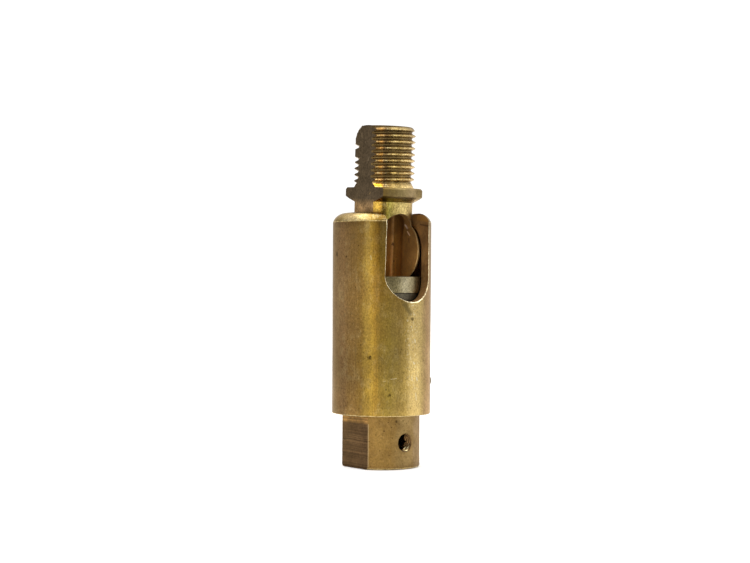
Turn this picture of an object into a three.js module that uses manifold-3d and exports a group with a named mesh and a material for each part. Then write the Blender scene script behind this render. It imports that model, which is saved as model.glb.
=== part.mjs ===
// A brass ball-swivel holder: a threaded, flatted ball stem tilts in a slotted
// sleeve, and the sleeve turns on a threaded base plug.
// Units are millimetres. +Z runs up the axis, +X points out through the sleeve's slot,
// and the origin is the centre of the base plug's bottom face.
import * as THREE from "three";
import { mergeVertices } from "three/addons/utils/BufferGeometryUtils.js";
import Module from "manifold-3d";

// ---------------------------------------------------------------- dimensions
const TOTAL_H = 55.0; // bottom of the plug to the end of the stem, stem upright
const SEG = 48; // facets round a full turn

// base plug
const PLUG_R = 6.3;
const PLUG_BOSS_H = 8.6; // the part of the plug below the sleeve
const PLUG_TOP = 17.4; // end of the spigot inside the sleeve
const PLUG_CHAMFER = 0.35;
const PLUG_FLAT = 5.33; // axis to wrench flat
const PLUG_FLAT_TOP = 8.58; // the flats end just under the sleeve
const SOCKET_R = 4.46; // minor radius of the M10 x 1 socket
const SOCKET_DEPTH = 10.4;
const SOCKET_MOUTH_R = 5.05;
const WIRE_R = 3.5; // wire way through plug and stem
const CLAMP_Z = 4.25; // height of the M3 clamp-screw hole
const CLAMP_R = 1.25;
const CLAMP_MOUTH_R = 1.7;

// retaining pin and its groove
const PIN_Z = 13.9;
const PIN_R = 0.9;
const PIN_HOLE_R = 1.1;
const PIN_TIP = 8.2; // how far the pin reaches from the axis
const PIN_ROOT = 5.55;
const PIN_ANGLE = THREE.MathUtils.degToRad(51.7); // from +X towards +Y
const GROOVE_R = 5.2;
const GROOVE_HALF = 1.15;
const STOP_HALF = THREE.MathUtils.degToRad(3.5); // half the stop web left in the groove

// sleeve
const SLEEVE_R = 8.0;
const SLEEVE_BOTTOM = 8.6;
const SLEEVE_TOP = 41.0;
const SLEEVE_BORE_R = 6.5;
const SHOULDER_Z = 39.55; // where the rounded top edge begins
const SHOULDER_R = 5.9; // where it ends, on the top face
const MOUTH_R = 4.97;
const SLOT_HALF = 4.275;
const SLOT_BOTTOM = 26.7;

// ball stem, in its own frame: ball centre at the origin, thread up
const BALL_Z = 35.0; // height of the ball's centre
const BALL_R = 6.2;
const STEM_TILT = THREE.MathUtils.degToRad(2.5); // how the stem leans towards the slot
const NECK_R = 4.7;
const COLLAR_LOW = 7.8; // underside of the collar's cone, above the ball centre
const COLLAR_RIM = 8.7;
const COLLAR_TOP = 10.1;
const COLLAR_R = 6.35;
const THREAD_R = 4.9; // crest of the M10 x 1 thread
const THREAD_ROOT_R = 4.3;
const PITCH = 1.0;
const STEM_TOP = TOTAL_H - BALL_Z;
const STEM_FLAT = 4.03; // axis to wrench flat
const CHANNEL_HALF = 3.3; // wire channel milled in the ball
const CHANNEL_ARCH = 2.4; // centre of the channel's round top

// friction stack
const SEAT_R = 6.33;
const SEAT_TOP = 30.74;
const SEAT_BOTTOM = 28.26;
const SEAT_BORE_R = 3.7;
const SEAT_CUP_R = 6.5;
const WASHER_TOP = 28.0;
const WASHER_BOTTOM = 26.3;
const WASHER_R = 6.2;
const SPRING_MEAN_R = 5.1;
const SPRING_WIRE_R = 0.75;
const SPRING_TURNS = 4;
const SPRING_BOTTOM = 18.7;
const BASE_WASHER_BOTTOM = 17.65;
const BASE_WASHER_TOP = 18.4;

// ---------------------------------------------------------------- solid helpers
const wasm = await Module();
wasm.setup();
const { Manifold, Mesh } = wasm;

// A closed three.js geometry as a solid.
function solid(geometry) {
  const bare = geometry.index ? geometry.toNonIndexed() : geometry.clone();
  for (const name of Object.keys(bare.attributes))
    if (name !== "position") bare.deleteAttribute(name);
  const merged = mergeVertices(bare, 1e-4);
  return new Manifold(
    new Mesh({
      numProp: 3,
      vertProperties: merged.attributes.position.array,
      triVerts: new Uint32Array(merged.index.array),
    }),
  );
}

// A solid as a flat-shaded three.js geometry.
function geometryOf(manifold) {
  const mesh = manifold.getMesh();
  const points = new Float32Array(mesh.numVert * 3);
  for (let i = 0; i < mesh.numVert; i++)
    for (let k = 0; k < 3; k++)
      points[3 * i + k] = mesh.vertProperties[mesh.numProp * i + k];
  const g = new THREE.BufferGeometry();
  g.setAttribute("position", new THREE.BufferAttribute(points, 3));
  g.setIndex(new THREE.BufferAttribute(new Uint32Array(mesh.triVerts), 1));
  const flat = g.toNonIndexed();
  flat.computeVertexNormals();
  return flat;
}

// A solid of revolution about Z from [radius, height] pairs that close on themselves.
// The profile runs anticlockwise in the (radius, height) half-plane.
function turned(profile, segments = SEG) {
  const points = profile.map(([r, z]) => new THREE.Vector2(r, z));
  if (profile[0][0] !== 0) points.push(points[0].clone());
  const g = new THREE.LatheGeometry(points, segments);
  g.rotateX(Math.PI / 2); // lathe axis Y becomes Z
  return solid(g);
}

// [radius, height] pairs along a circle about (0, zc), from angle a to b (from the +R axis).
function arc(radius, zc, a, b, steps) {
  return Array.from({ length: steps + 1 }, (_, i) => {
    const t = a + ((b - a) * i) / steps;
    return [radius * Math.cos(t), zc + radius * Math.sin(t)];
  });
}

// A box from its corners.
function block(low, high) {
  const g = new THREE.BoxGeometry(
    high[0] - low[0],
    high[1] - low[1],
    high[2] - low[2],
  );
  g.translate(
    (low[0] + high[0]) / 2,
    (low[1] + high[1]) / 2,
    (low[2] + high[2]) / 2,
  );
  return solid(g);
}

// A bar along +X from x0 to x1 at height z, tapering from r0 to r1, turned about Z by angle.
function radialBar(x0, x1, r0, r1, z, angle = 0, segments = 24) {
  const g = new THREE.CylinderGeometry(r1, r0, x1 - x0, segments);
  g.rotateZ(-Math.PI / 2);
  g.translate((x0 + x1) / 2, 0, z);
  g.rotateZ(angle);
  return solid(g);
}

// An upright slab along X with round ends: a rectangle from z0 to z1 with a half-circle cap
// of radius half above or below, cut from x0 to x1.
function slotCutter(x0, x1, half, z0, z1, capBelow, capAbove) {
  const shape = new THREE.Shape();
  shape.moveTo(-half, z0);
  if (capBelow) shape.absarc(0, z0, half, Math.PI, 2 * Math.PI, false);
  else shape.lineTo(half, z0);
  shape.lineTo(half, z1);
  if (capAbove) shape.absarc(0, z1, half, 0, Math.PI, false);
  else shape.lineTo(-half, z1);
  shape.closePath();
  const g = new THREE.ExtrudeGeometry(shape, {
    depth: x1 - x0,
    bevelEnabled: false,
    curveSegments: 14,
  });
  // shape x -> Y, shape y -> Z, extrusion -> X
  g.applyMatrix4(
    new THREE.Matrix4().makeBasis(
      new THREE.Vector3(0, 1, 0),
      new THREE.Vector3(0, 0, 1),
      new THREE.Vector3(1, 0, 0),
    ),
  );
  g.translate(x0, 0, 0);
  return solid(g);
}

// A right-hand 60 degree thread on a solid core, a little longer than z0 to z1 at both ends.
// Its rows follow the helix, so each turn's last row is the next turn's first.
function threadedBar(root, crest, pitch, z0, z1, segments) {
  const rows = [
    [0.0, root],
    [0.38, crest],
    [0.62, crest],
  ];
  const perTurn = rows.length;
  const turns = Math.ceil((z1 - z0) / pitch) + 2;
  const count = turns * perTurn + 1;
  const start = z0 - 1.5 * pitch;
  const points = [];
  for (let k = 0; k < count; k++)
    for (let j = 0; j < segments; j++) {
      const [share, r] = rows[k % perTurn];
      const a = (2 * Math.PI * j) / segments;
      const z =
        start + pitch * (Math.floor(k / perTurn) + share + j / segments - 0.5);
      points.push(r * Math.cos(a), r * Math.sin(a), z);
    }
  const low = count * segments,
    high = low + 1;
  points.push(0, 0, start - pitch, 0, 0, start + pitch * (turns + 1.5));
  const at = (k, j) =>
    j < segments ? k * segments + j : (k + perTurn) * segments;
  const faces = [];
  for (let k = 0; k + 1 < count; k++)
    for (let j = 0; j < segments; j++) {
      if (j === segments - 1 && k + 1 + perTurn >= count) continue;
      faces.push(at(k, j), at(k, j + 1), at(k + 1, j + 1));
      faces.push(at(k, j), at(k + 1, j + 1), at(k + 1, j));
    }
  // The two ends: each closes the last row with a fan about a point on the axis.
  for (let j = 0; j < segments; j++) faces.push(low, at(0, j + 1), at(0, j));
  for (let k = 0; k < perTurn; k++) faces.push(low, at(k, 0), at(k + 1, 0));
  const top = count - 1;
  for (let j = 0; j < segments - 1; j++)
    faces.push(high, at(top, j), at(top, j + 1));
  for (let k = top - perTurn; k < top; k++)
    faces.push(high, at(k + 1, segments - 1), at(k, segments - 1));
  faces.push(
    high,
    at(top - perTurn, segments - 1),
    at(top - perTurn, segments),
  );
  const g = new THREE.BufferGeometry();
  g.setAttribute("position", new THREE.Float32BufferAttribute(points, 3));
  g.setIndex(faces);
  return g;
}

// A circle of wire swept along a helix, with its frames locked to the radial direction.
class HelixCurve extends THREE.Curve {
  constructor(radius, turns, z0, z1) {
    super();
    Object.assign(this, { radius, turns, z0, z1 });
  }
  getPoint(t, target = new THREE.Vector3()) {
    const a = 2 * Math.PI * this.turns * t;
    // the end turns lie almost flat, and the middle ones carry the pitch
    const s = THREE.MathUtils.smoothstep(t, 0, 1) * 0.35 + t * 0.65;
    return target.set(
      this.radius * Math.cos(a),
      this.radius * Math.sin(a),
      this.z0 + (this.z1 - this.z0) * s,
    );
  }
  computeFrenetFrames(segments) {
    const tangents = [],
      normals = [],
      binormals = [];
    for (let i = 0; i <= segments; i++) {
      const t = i / segments,
        p = this.getPoint(t);
      const tangent = this.getPoint(Math.min(1, t + 1e-4))
        .sub(this.getPoint(Math.max(0, t - 1e-4)))
        .normalize();
      const normal = new THREE.Vector3(p.x, p.y, 0).normalize();
      const binormal = new THREE.Vector3().crossVectors(tangent, normal);
      tangents.push(tangent);
      normals.push(normal);
      binormals.push(binormal);
    }
    return { tangents, normals, binormals };
  }
}

// ---------------------------------------------------------------- base plug
function basePlug() {
  let s = turned([
    [WIRE_R, SOCKET_DEPTH],
    [SOCKET_R, SOCKET_DEPTH],
    [SOCKET_R, SOCKET_MOUTH_R - SOCKET_R],
    [SOCKET_MOUTH_R, 0],
    [PLUG_R - PLUG_CHAMFER, 0],
    [PLUG_R, PLUG_CHAMFER],
    [PLUG_R, PLUG_TOP - 0.5],
    [PLUG_R - 0.5, PLUG_TOP],
    [WIRE_R, PLUG_TOP],
  ]);
  // wrench flats
  for (const side of [-1, 1]) {
    const y = [side * PLUG_FLAT, side * 9].sort((a, b) => a - b);
    s = s.subtract(block([-9, y[0], -1], [9, y[1], PLUG_FLAT_TOP]));
  }
  // clamp-screw hole and its small countersink
  s = s.subtract(radialBar(3.5, 8, CLAMP_R, CLAMP_R, CLAMP_Z));
  s = s.subtract(
    radialBar(
      PLUG_R - 0.3,
      PLUG_R + 0.4,
      CLAMP_R,
      CLAMP_MOUTH_R + 0.25,
      CLAMP_Z,
    ),
  );
  // groove for the retaining pin, all round but for the stop web
  const low = PIN_Z - GROOVE_HALF,
    high = PIN_Z + GROOVE_HALF;
  const ring = turned([
    [GROOVE_R, low],
    [7, low],
    [7, high],
    [GROOVE_R, high],
  ]);
  const web = new THREE.Shape();
  const back = PIN_ANGLE + Math.PI;
  web.moveTo(0, 0);
  web.lineTo(9 * Math.cos(back - STOP_HALF), 9 * Math.sin(back - STOP_HALF));
  web.lineTo(9 * Math.cos(back + STOP_HALF), 9 * Math.sin(back + STOP_HALF));
  web.closePath();
  const wedge = new THREE.ExtrudeGeometry(web, {
    depth: 2 * GROOVE_HALF + 2,
    bevelEnabled: false,
  });
  wedge.translate(0, 0, low - 1);
  return s.subtract(ring.subtract(solid(wedge)));
}

// ---------------------------------------------------------------- sleeve
function swivelSleeve() {
  const roof = SLEEVE_BORE_R; // the ball's seat under the roof is a sphere of the bore's radius
  const end = Math.acos(MOUTH_R / roof);
  const shoulder = [];
  // rounded top edge, from a crisp line on the side to the flat top
  for (let i = 0; i <= 6; i++) {
    const t = 0.22 + (1 - 0.22) * (i / 6);
    const a = (t * Math.PI) / 2;
    const r =
      SHOULDER_R +
      ((SLEEVE_R - SHOULDER_R) * Math.cos(a)) / Math.cos(0.11 * Math.PI);
    const z =
      SHOULDER_Z +
      ((SLEEVE_TOP - SHOULDER_Z) * (Math.sin(a) - Math.sin(0.11 * Math.PI))) /
        (1 - Math.sin(0.11 * Math.PI));
    shoulder.push([r, z]);
  }
  let s = turned(
    [
      [SLEEVE_BORE_R, SLEEVE_BOTTOM],
      [SLEEVE_R - 0.12, SLEEVE_BOTTOM],
      [SLEEVE_R, SLEEVE_BOTTOM + 0.12],
      ...shoulder,
      [MOUTH_R + 0.25, SLEEVE_TOP],
      [MOUTH_R, SLEEVE_TOP - 0.25],
      ...arc(roof, BALL_Z, end, 0, 7),
    ],
    64,
  );
  // the slot the stem folds down into
  s = s.subtract(
    slotCutter(
      0,
      10,
      SLOT_HALF,
      SLOT_BOTTOM + SLOT_HALF,
      SLEEVE_TOP + 2,
      true,
      false,
    ),
  );
  // hole for the retaining pin
  return s.subtract(
    radialBar(5, 10, PIN_HOLE_R, PIN_HOLE_R, PIN_Z, PIN_ANGLE, 20),
  );
}

// ---------------------------------------------------------------- ball stem
function ballStem() {
  const bottom = -Math.acos(WIRE_R / BALL_R) - 0.02;
  const top = Math.acos(2 / BALL_R);
  const ball = turned([
    [0, BALL_R * Math.sin(bottom)],
    ...arc(BALL_R, 0, bottom, top, 22),
    [0, BALL_R * Math.sin(top)],
  ]);
  let s = turned([
    [0, 2],
    [NECK_R, 2],
    [NECK_R, COLLAR_LOW],
    [COLLAR_R, COLLAR_RIM],
    [COLLAR_R, COLLAR_TOP - 0.25],
    [COLLAR_R - 0.25, COLLAR_TOP],
    [THREAD_ROOT_R, COLLAR_TOP],
    [THREAD_ROOT_R, COLLAR_TOP + 0.6],
    [0, COLLAR_TOP + 0.6],
  ]);
  const envelope = turned([
    [0, COLLAR_TOP - 0.5],
    [THREAD_ROOT_R, COLLAR_TOP - 0.5],
    [THREAD_ROOT_R, COLLAR_TOP + 0.25],
    [THREAD_R + 0.2, COLLAR_TOP + 0.85],
    [THREAD_R + 0.2, STEM_TOP - 0.8],
    [THREAD_ROOT_R, STEM_TOP],
    [0, STEM_TOP],
  ]);
  const thread = solid(
    threadedBar(
      THREAD_ROOT_R,
      THREAD_R,
      PITCH,
      COLLAR_TOP - 0.5,
      STEM_TOP,
      SEG,
    ),
  );
  s = s.add(thread.intersect(envelope));
  // flats through thread, collar and neck, down to the ball
  for (const side of [-1, 1]) {
    const y = [side * STEM_FLAT, side * 9].sort((a, b) => a - b);
    s = s.subtract(block([-9, y[0], 0], [9, y[1], STEM_TOP + 1]));
  }
  s = s.add(ball);
  // wire bore
  s = s.subtract(
    turned([
      [0, -10],
      [WIRE_R, -10],
      [WIRE_R, STEM_TOP + 1],
      [0, STEM_TOP + 1],
    ]),
  );
  // wire channel in the ball
  return s.subtract(
    slotCutter(0, 8, CHANNEL_HALF, -8, CHANNEL_ARCH, false, true),
  );
}

// ---------------------------------------------------------------- friction stack
function ballSeat() {
  const top = Math.asin((BALL_Z - SEAT_TOP) / SEAT_CUP_R);
  const low = Math.acos(SEAT_BORE_R / SEAT_CUP_R);
  return turned([
    ...arc(SEAT_CUP_R, BALL_Z, -top, -low, 5),
    [SEAT_BORE_R, SEAT_BOTTOM],
    [SEAT_R, SEAT_BOTTOM],
    [SEAT_R, SEAT_TOP - 0.2],
    [SEAT_R - 0.2, SEAT_TOP],
  ]);
}

const washer = (inner, outer, low, high) =>
  turned([
    [inner, low],
    [outer, low],
    [outer, high],
    [inner, high],
  ]);

function frictionSpring() {
  const low = SPRING_BOTTOM + SPRING_WIRE_R,
    high = WASHER_BOTTOM - 0.3 - SPRING_WIRE_R;
  const wire = new THREE.Shape();
  for (let i = 0; i < 8; i++) {
    const a = (i / 8) * 2 * Math.PI;
    const x = SPRING_WIRE_R * Math.cos(a),
      y = SPRING_WIRE_R * Math.sin(a);
    if (i) wire.lineTo(x, y);
    else wire.moveTo(x, y);
  }
  wire.closePath();
  return solid(
    new THREE.ExtrudeGeometry(wire, {
      steps: SPRING_TURNS * 24,
      extrudePath: new HelixCurve(SPRING_MEAN_R, SPRING_TURNS, low, high),
      bevelEnabled: false,
    }),
  );
}

const retainingPin = () => {
  const bar = radialBar(PIN_ROOT, PIN_TIP - 0.2, PIN_R, PIN_R, PIN_Z, PIN_ANGLE, 16);
  const tip = radialBar(
    PIN_TIP - 0.2,
    PIN_TIP,
    PIN_R,
    PIN_R - 0.3,
    PIN_Z,
    PIN_ANGLE,
    16,
  );
  return bar.add(tip);
};

// ---------------------------------------------------------------- scene graph
const finish = (color, roughness, metalness = 1) =>
  new THREE.MeshStandardMaterial({ color, roughness, metalness });
const BRASS_BARREL = finish(0x9c8050, 0.38);
const BRASS_STEM = finish(0xa58643, 0.34);
const BRASS_PLUG = finish(0x8f744c, 0.42);
const STEEL_SEAT = finish(0x8b8676, 0.5);
const STEEL_DARK = finish(0x55534e, 0.5);
const STEEL_SPRING = finish(0x77767a, 0.35);

const holder = new THREE.Group();
const place = (parent, name, made, material) => {
  const mesh = new THREE.Mesh(geometryOf(made), material);
  mesh.name = name;
  parent.add(mesh);
  return mesh;
};

place(holder, "base_plug", basePlug(), BRASS_PLUG);

const sleeveGroup = new THREE.Group(); // turns on the plug about Z
holder.add(sleeveGroup);
place(sleeveGroup, "swivel_sleeve", swivelSleeve(), BRASS_BARREL);
place(sleeveGroup, "ball_seat", ballSeat(), STEEL_SEAT);
place(
  sleeveGroup,
  "thrust_washer",
  washer(SEAT_BORE_R, WASHER_R, WASHER_BOTTOM, WASHER_TOP),
  STEEL_DARK,
);
place(sleeveGroup, "friction_spring", frictionSpring(), STEEL_SPRING);
place(
  sleeveGroup,
  "spring_washer",
  washer(SEAT_BORE_R, WASHER_R, BASE_WASHER_BOTTOM, BASE_WASHER_TOP),
  STEEL_DARK,
);
place(sleeveGroup, "retaining_pin", retainingPin(), STEEL_SPRING);

const stemGroup = new THREE.Group(); // tilts about the ball's centre
stemGroup.position.set(0, 0, BALL_Z);
stemGroup.rotation.set(0, STEM_TILT, 0);
sleeveGroup.add(stemGroup);
place(stemGroup, "ball_stem", ballStem(), BRASS_STEM);

export default holder;
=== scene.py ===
"""Looks of the brass swivel holder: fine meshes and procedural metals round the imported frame.

Shapes are made in millimetres, in the CAD's frame, and scaled to metres at the end.
+X points out through the sleeve's slot, +Z up the axis, the origin is under the plug."""
import math

import bmesh
import bpy
from mathutils import Matrix, Vector, noise


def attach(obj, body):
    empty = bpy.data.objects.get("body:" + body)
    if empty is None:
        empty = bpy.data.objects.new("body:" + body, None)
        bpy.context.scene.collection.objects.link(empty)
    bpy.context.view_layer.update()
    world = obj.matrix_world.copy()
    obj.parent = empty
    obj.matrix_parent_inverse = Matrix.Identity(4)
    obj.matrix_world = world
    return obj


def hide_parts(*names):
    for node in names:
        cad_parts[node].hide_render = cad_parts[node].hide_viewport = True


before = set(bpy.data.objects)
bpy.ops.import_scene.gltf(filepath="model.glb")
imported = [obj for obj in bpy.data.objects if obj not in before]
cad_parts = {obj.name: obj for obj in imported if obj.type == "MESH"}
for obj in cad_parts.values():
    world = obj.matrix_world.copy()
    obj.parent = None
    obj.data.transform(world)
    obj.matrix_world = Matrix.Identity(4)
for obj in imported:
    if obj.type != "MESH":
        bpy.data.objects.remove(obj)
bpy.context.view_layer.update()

# ------------------------------------------------------------------ sizes (mm)
PLUG_R, PLUG_BOSS_H, PLUG_TOP = 6.3, 8.6, 17.4
PLUG_FLAT, PLUG_FLAT_TOP = 5.33, 8.9
SOCKET_R, SOCKET_MAJOR, SOCKET_DEPTH, SOCKET_MOUTH_R = 4.46, 4.98, 10.4, 5.05
WIRE_R = 3.5
CLAMP_Z, CLAMP_R, CLAMP_MAJOR = 4.25, 1.25, 1.46
PIN_Z, PIN_R, PIN_HOLE_R, PIN_TIP, PIN_ROOT = 13.9, 0.9, 1.1, 8.2, 5.55
PIN_ANGLE = math.radians(51.7)
GROOVE_R, GROOVE_HALF, STOP_HALF = 5.2, 1.15, math.radians(3.5)
SLEEVE_R, SLEEVE_BOTTOM, SLEEVE_TOP, SLEEVE_BORE_R = 8.0, 8.6, 41.0, 6.5
SHOULDER_Z, SHOULDER_R, MOUTH_R = 39.55, 5.9, 4.97
SLOT_HALF, SLOT_BOTTOM = 4.275, 26.7
BALL_Z, BALL_R = 35.0, 6.2
STEM_TILT = math.radians(2.5)
NECK_R, COLLAR_LOW, COLLAR_RIM, COLLAR_TOP, COLLAR_R = 4.7, 7.8, 8.7, 10.1, 6.35
THREAD_R, THREAD_ROOT_R, PITCH = 4.9, 4.29, 1.0
THREAD_PHASE = 0.486
STEM_TOP, STEM_FLAT = 20.0, 4.03
CHANNEL_HALF, CHANNEL_ARCH = 3.3, 2.62
SEAT_R, SEAT_TOP, SEAT_BOTTOM, SEAT_BORE_R, SEAT_CUP_R = 6.33, 30.74, 28.11, 3.7, 6.5
WASHER_TOP, WASHER_BOTTOM, WASHER_R = 28.09, 26.3, 6.2
SPRING_MEAN_R, SPRING_WIRE_R, SPRING_TURNS, SPRING_BOTTOM = 5.1, 0.75, 4, 18.7
BASE_WASHER_BOTTOM, BASE_WASHER_TOP = 17.65, 18.4

STEM_FRAME = Matrix.Translation((0, 0, BALL_Z)) @ Matrix.Rotation(STEM_TILT, 4, "Y")


# ------------------------------------------------------------------ node helpers
def tone(hexcode):
    """A linear colour from an sRGB hex code."""
    c = [int(hexcode[i : i + 2], 16) / 255 for i in (0, 2, 4)]
    return tuple(x / 12.92 if x <= 0.04045 else ((x + 0.055) / 1.055) ** 2.4 for x in c)


class Nodes:
    """A short way to write a material's node tree."""

    def __init__(self, tree):
        self.tree = tree

    def new(self, kind, inputs=None, **props):
        n = self.tree.nodes.new(kind)
        for k, v in props.items():
            setattr(n, k, v)
        for k, v in (inputs or {}).items():
            if isinstance(v, bpy.types.NodeSocket):
                self.tree.links.new(v, n.inputs[k])
            else:
                n.inputs[k].default_value = v
        return n

    def math(self, op, a, b=0.0, c=0.0, clamp=False):
        return self.new("ShaderNodeMath", {0: a, 1: b, 2: c}, operation=op, use_clamp=clamp).outputs[0]

    def vmath(self, op, a, b=(0, 0, 0), scale=None):
        n = self.new("ShaderNodeVectorMath", {0: a, 1: b}, operation=op)
        if scale is not None:
            n.inputs["Scale"].default_value = scale
        return n.outputs["Value"] if op in ("DOT_PRODUCT", "LENGTH", "DISTANCE") else n.outputs[0]

    def noise(self, vector, scale, detail=3.0, rough=0.55, distortion=0.0):
        n = self.new(
            "ShaderNodeTexNoise",
            {"Vector": vector, "Scale": scale, "Detail": detail, "Roughness": rough, "Distortion": distortion},
        )
        return n.outputs["Fac"]

    def ramp(self, fac, stops, interpolation="LINEAR"):
        n = self.new("ShaderNodeValToRGB", {"Fac": fac})
        r = n.color_ramp
        r.interpolation = interpolation
        while len(r.elements) < len(stops):
            r.elements.new(0.5)
        for e, (p, c) in zip(r.elements, sorted(stops, key=lambda s: s[0])):
            e.position = p
            e.color = (*c, 1) if hasattr(c, "__len__") else (c, c, c, 1)
        return n.outputs["Color"]

    def mix(self, fac, a, b, blend="MIX"):
        n = self.new("ShaderNodeMix", data_type="RGBA", blend_type=blend)
        for socket, v in ((n.inputs[0], fac), (n.inputs[6], a), (n.inputs[7], b)):
            if isinstance(v, bpy.types.NodeSocket):
                self.tree.links.new(v, socket)
            elif hasattr(v, "__len__"):
                socket.default_value = (*v[:3], 1)
            else:
                socket.default_value = v
        return n.outputs[2]

    def remap(self, v, a, b, c=0.0, d=1.0):
        return self.new(
            "ShaderNodeMapRange",
            {"Value": v, "From Min": a, "From Max": b, "To Min": c, "To Max": d},
        ).outputs[0]


def metal(
    name,
    base,
    dark,
    light,
    angular=None,
    grain=(6.0, 6.0, 0.3),
    grain_amount=0.35,
    cloud_scale=0.16,
    cloud=(0.42, 0.62),
    dark_amount=0.55,
    light_amount=0.35,
    speck=0.35,
    roughness=(0.30, 0.46),
    bump=0.25,
    pits=(),
    metallic=1.0,
    marks=None,
    height_tint=None,
    level=1.0,
    painted_light_by_height=None,
    mottle=0.10,
    strokes=(),
    stem=False,
    wobble=1.0,
    gain_drift=5.0,
    root_dirt_and_shade=None,
    soft=0.3,
    edge="e4d8c8",
    flecks_and_glints=None,
):
    """A turned or milled metal: a base tone under clouds of tarnish, grain along the cut, fine specks, and a bump.

    base, dark and light are hex tones; angular gives tones round the Z axis as (degrees, tone) stops;
    grain stretches the tool marks; marks is (axis index, per mm) for regular cutter lines;
    height_tint is (z, z, tone) for a tone that comes in between two heights; stem means the shapes are measured along the stem."""
    m = bpy.data.materials.new(name)
    m.use_nodes = True
    m.node_tree.nodes.clear()
    n = Nodes(m.node_tree)
    out = n.new("ShaderNodeOutputMaterial")
    bsdf = n.new("ShaderNodeBsdfPrincipled")
    m.node_tree.links.new(bsdf.outputs[0], out.inputs[0])
    obj = n.new("ShaderNodeTexCoord").outputs["Object"]
    mm = n.vmath("SCALE", obj, scale=1000.0)
    if stem:  # coordinates along the leaning stem, from the ball's centre
        mm = n.vmath("SUBTRACT", mm, (0.0, 0.0, BALL_Z))
        mm = n.new("ShaderNodeVectorRotate", {"Vector": mm, "Angle": -STEM_TILT}, rotation_type="Y_AXIS").outputs[0]
    parts = n.new("ShaderNodeSeparateXYZ", {0: mm}).outputs
    # base tone, round the axis if asked; in most materials these stops also paint highlights, reflections and shade
    if angular:
        theta = n.math("ARCTAN2", parts[1], parts[0])
        wob = n.math("SUBTRACT", n.noise(mm, 0.35, 3.0), 0.5)
        wobv = n.math("SUBTRACT", n.noise(n.vmath("MULTIPLY", mm, (1.2, 1.2, 0.06)), 1.0, 2.0), 0.5)
        theta = n.math("ADD", theta, n.math("ADD", n.math("MULTIPLY", wob, 0.35 * wobble), n.math("MULTIPLY", wobv, 0.28 * wobble)))
        turn = n.math("ADD", n.math("DIVIDE", theta, 2 * math.pi), 0.5)
        colour = n.ramp(turn, [((deg + 180) / 360, tone(t)) for deg, t in angular], "EASE")
    else:
        colour = n.mix(0.0, tone(base), tone(base))
    if height_tint:
        lo, hi, t = height_tint
        k = n.remap(parts[2], lo, hi)
        k = n.math("MULTIPLY", k, n.ramp(n.noise(mm, 0.9, 4.0, 0.6), [(0.35, 0.55), (0.65, 1.0)]))
        colour = n.mix(k, colour, tone(t))
    # clouds of tarnish and of cleaner metal
    cloud_n = n.noise(mm, cloud_scale, 5.0, 0.6, 0.3)
    colour = n.mix(n.math("MULTIPLY", n.ramp(cloud_n, [(cloud[0], 1.0), (cloud[1], 0.0)]), dark_amount), colour, tone(dark))
    cloud_l = n.noise(n.vmath("ADD", mm, (31.0, 17.0, 5.0)), cloud_scale * 1.7, 4.0, 0.6, 0.2)
    fleck = n.noise(n.vmath("MULTIPLY", mm, (1.0, 1.0, 0.6)), cloud_scale * 7.0, 4.0, 0.7)
    cloud_l = n.math("ADD", n.math("MULTIPLY", cloud_l, 0.45), n.math("MULTIPLY", fleck, 0.55))
    colour = n.mix(n.math("MULTIPLY", n.ramp(cloud_l, [(0.50, 0.0), (0.66, 1.0)]), light_amount), colour, tone(light))
    # grain along the cut
    g = n.noise(n.vmath("MULTIPLY", mm, grain), 1.0, 4.0, 0.65)
    g2 = n.noise(n.vmath("MULTIPLY", mm, tuple(3.1 * v for v in grain)), 1.0, 2.0, 0.5)
    grain_v = n.math("ADD", n.math("MULTIPLY", g, 0.65), n.math("MULTIPLY", g2, 0.35))
    gain = n.remap(grain_v, 0.3, 0.7, 1.0 - grain_amount, 1.0 + grain_amount)
    # specks of dirt and of bare metal
    s = n.noise(mm, 3.6, 3.0, 0.7)
    specks = n.ramp(s, [(0.30, 1.0 - speck), (0.42, 1.0), (0.60, 1.0), (0.72, 1.0 + 0.0)])
    bright = n.ramp(s, [(0.62, 0.0), (0.72, 1.0)])
    colour = n.mix(1.0, colour, specks, "MULTIPLY")
    colour = n.mix(n.math("MULTIPLY", bright, speck * 0.5), colour, tone(light))
    grey = n.new("ShaderNodeCombineColor", {0: gain, 1: gain, 2: gain}).outputs[0]
    colour = n.mix(1.0, colour, grey, "MULTIPLY")
    height = n.math("MULTIPLY", grain_v, 0.6)
    height = n.math("ADD", height, n.math("MULTIPLY", n.noise(mm, 7.0, 2.0, 0.5), 0.35))
    rough = n.remap(n.math("ADD", n.math("MULTIPLY", cloud_n, 0.6), n.math("MULTIPLY", s, 0.4)), 0.35, 0.65, roughness[1], roughness[0])
    if marks:
        axis, per_mm, amount = marks
        wander = n.math("MULTIPLY", n.noise(n.vmath("MULTIPLY", mm, (0.22, 0.22, 0.22)), 1.0, 2.0), 0.45)
        line = n.noise(
            n.new("ShaderNodeCombineXYZ", {2: n.math("MULTIPLY", n.math("ADD", parts[axis], wander), per_mm)}).outputs[0],
            1.0, 5.0, 0.75,
        )
        lg = n.remap(line, 0.38, 0.62, 1.0 - amount, 1.0 + amount)
        colour = n.mix(1.0, colour, n.new("ShaderNodeCombineColor", {0: lg, 1: lg, 2: lg}).outputs[0], "MULTIPLY")
        height = n.math("ADD", height, n.math("MULTIPLY", line, 0.8))
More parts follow.
